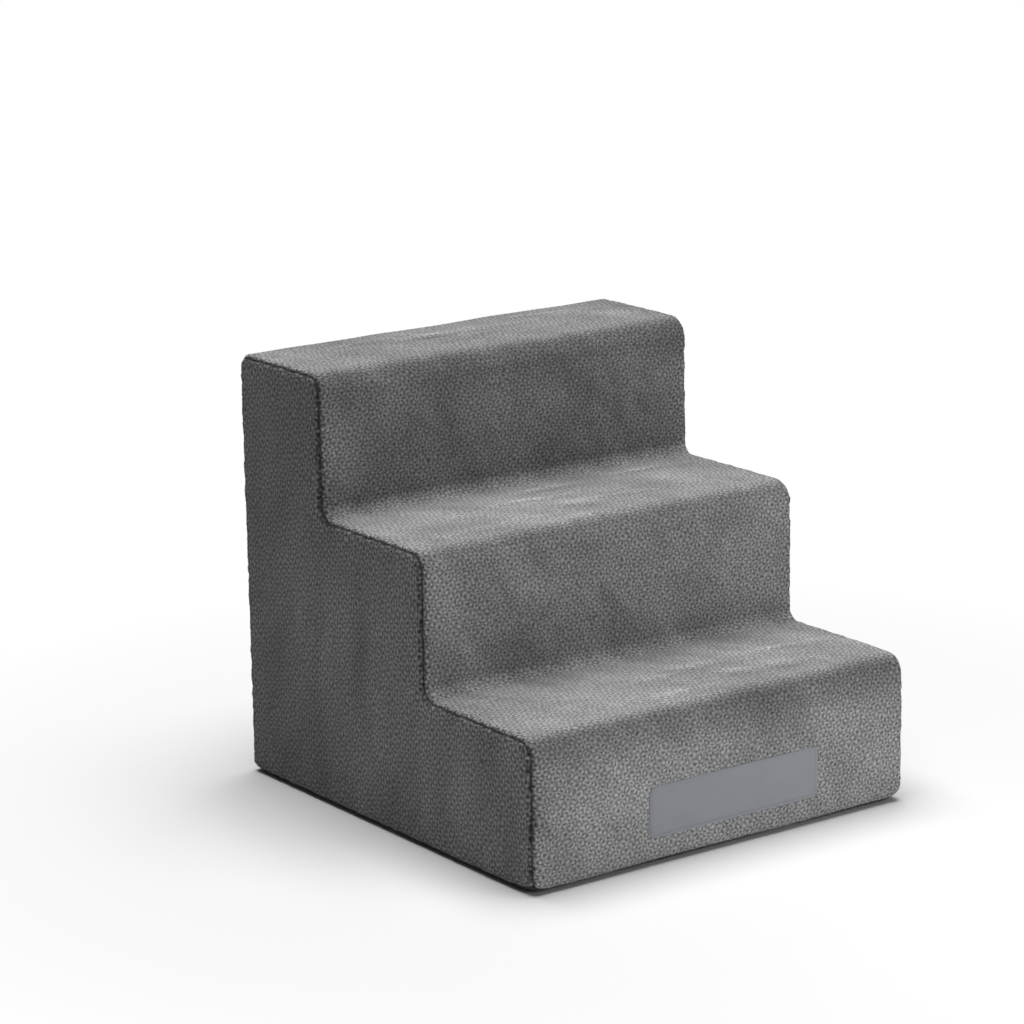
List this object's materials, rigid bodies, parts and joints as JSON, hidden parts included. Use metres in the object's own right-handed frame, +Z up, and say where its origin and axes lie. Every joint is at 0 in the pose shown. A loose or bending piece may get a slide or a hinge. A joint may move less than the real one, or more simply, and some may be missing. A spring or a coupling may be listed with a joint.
{
  "type": "foam dog stairs",
  "caption": "Three-step upholstered foam stairs for small dogs, with rounded treads, flat stepped sides and a removable plush cover that zips open round its back panel.",
  "frame": {"origin": "on the floor, at the middle of the whole object's footprint, with the zipper slider's crown counted in", "axes": "+Y the way the stairs climb, so the low step faces -Y; +X across the treads; +Z up"},
  "size_m": [0.406, 0.4368, 0.388],
  "materials": {
    "foam_firm": "open-cell firm foam",
    "foam_soft": "open-cell soft foam",
    "plush": "nubby grey plush",
    "plush_side": "nubby grey plush, finer nap",
    "grip_fabric": "woven, with rubbery dots",
    "thread": "twisted polyester",
    "label_cloth": "smooth weave",
    "zipper_tape": "woven tape",
    "zipper_coil": "nylon coil",
    "zipper_metal": "satin nickel plating"
  },
  "bodies": {
    "stairs": {"foam_base_slab": "foam_firm", "foam_middle_slab": "foam_firm", "foam_top_slab": "foam_firm", "lower_tread_pad": "foam_soft", "middle_tread_pad": "foam_soft", "upper_tread_pad": "foam_soft", "step_panel": "plush", "left_side_panel": "plush_side", "right_side_panel": "plush_side", "back_border": "plush", "back_flap": "plush", "base_panel": "grip_fabric", "left_seam_thread": "thread", "right_seam_thread": "thread", "front_label": "label_cloth", "zipper_tape_outer": "zipper_tape", "zipper_tape_inner": "zipper_tape", "zipper_coil_outer": "zipper_coil", "zipper_coil_inner": "zipper_coil", "zipper_start_stop": "zipper_metal", "zipper_end_stops": "zipper_metal"},
    "slider": {"zipper_slider": "zipper_metal"},
    "pull": {"zipper_pull": "zipper_metal"}
  },
  "joints": [
    {"name": "slider_travel", "type": "slide", "parent": "stairs", "child": "slider", "axis": [0, 0, 1], "range_m": [0, 0.255]},
    {"name": "pull_hinge", "type": "hinge", "parent": "slider", "child": "pull", "pos_m": [-0.166, 0.2171, 0.0301], "axis": [1, 0, 0], "range_deg": [0, 170]}
  ]
}
